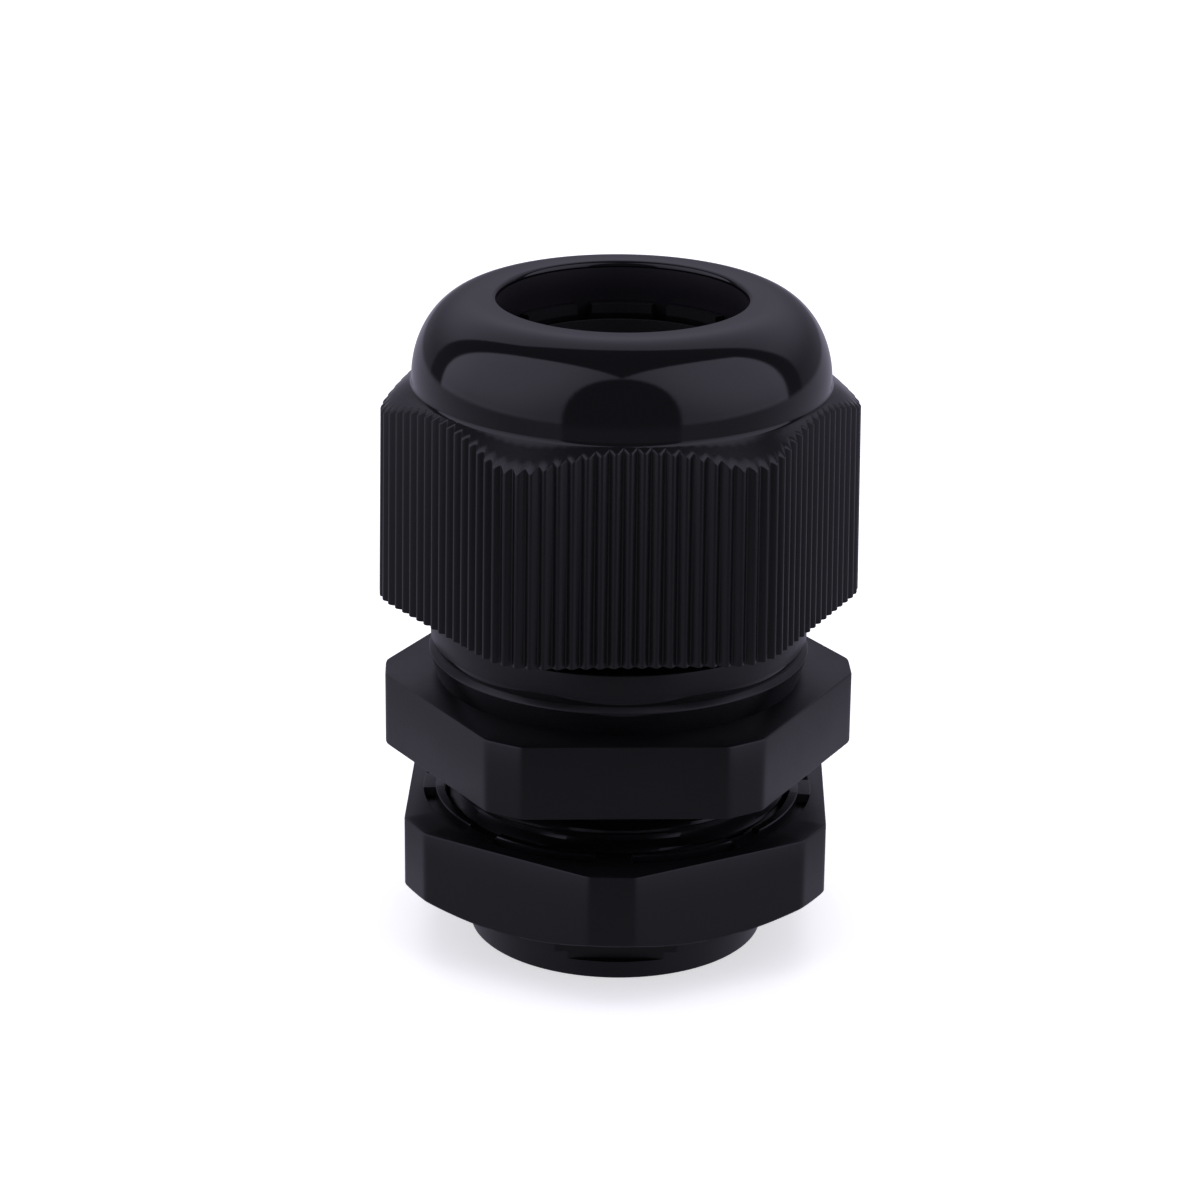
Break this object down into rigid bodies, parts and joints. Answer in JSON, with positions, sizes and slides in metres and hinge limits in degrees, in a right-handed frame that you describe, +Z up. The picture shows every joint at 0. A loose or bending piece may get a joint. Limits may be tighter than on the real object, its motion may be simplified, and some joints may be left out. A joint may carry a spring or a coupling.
{
  "type": "cable gland",
  "caption": "Black nylon cable gland: domed ribbed cap nut over a hexagonal body with a tapered pipe thread, clamping fingers and seal inside, and a locknut.",
  "frame": {"origin": "centre of the pilot's end face, which is the base that the gland stands on", "axes": "+Z up the gland's axis, from the threaded end to the cable mouth; -Y is the front"},
  "size_m": [0.0368, 0.0356, 0.0514],
  "materials": {
    "body_nylon": "moulded black nylon, satin to glossy",
    "cap_nylon": "moulded black nylon, glossy dome and satin ribs",
    "insert_nylon": "moulded black nylon, satin",
    "seal_rubber": "matt black rubber",
    "ring_rubber": "matt black rubber",
    "locknut_nylon": "moulded black nylon, satin"
  },
  "bodies": {
    "body": {"gland_body": "body_nylon"},
    "clamp": {"clamping_insert": "insert_nylon", "seal": "seal_rubber"},
    "cap": {"dome_nut": "cap_nylon"},
    "ring": {"sealing_ring": "ring_rubber"},
    "nut": {"locknut": "locknut_nylon"}
  },
  "joints": [
    {"name": "cap_travel", "type": "slide", "parent": "body", "child": "clamp", "axis": [0, 0, 1], "range_m": [-0.0055, 0.0045]},
    {"name": "cap_turn", "type": "hinge", "parent": "clamp", "child": "cap", "pos_m": [0, 0, 0.036], "axis": [0, 0, 1], "range_deg": [-985, 805]},
    {"name": "locknut_travel", "type": "slide", "parent": "body", "child": "ring", "axis": [0, 0, 1], "range_m": [-0.0047, 0.0037]},
    {"name": "locknut_turn", "type": "hinge", "parent": "ring", "child": "nut", "pos_m": [0, 0, 0.0081], "axis": [0, 0, 1], "range_deg": [-930, 730]}
  ],
  "couplings": [
    {"joint": "cap_travel", "follows": "cap_turn", "m_per_rad": 0.00031831},
    {"joint": "locknut_travel", "follows": "locknut_turn", "m_per_rad": 0.00028875}
  ]
}
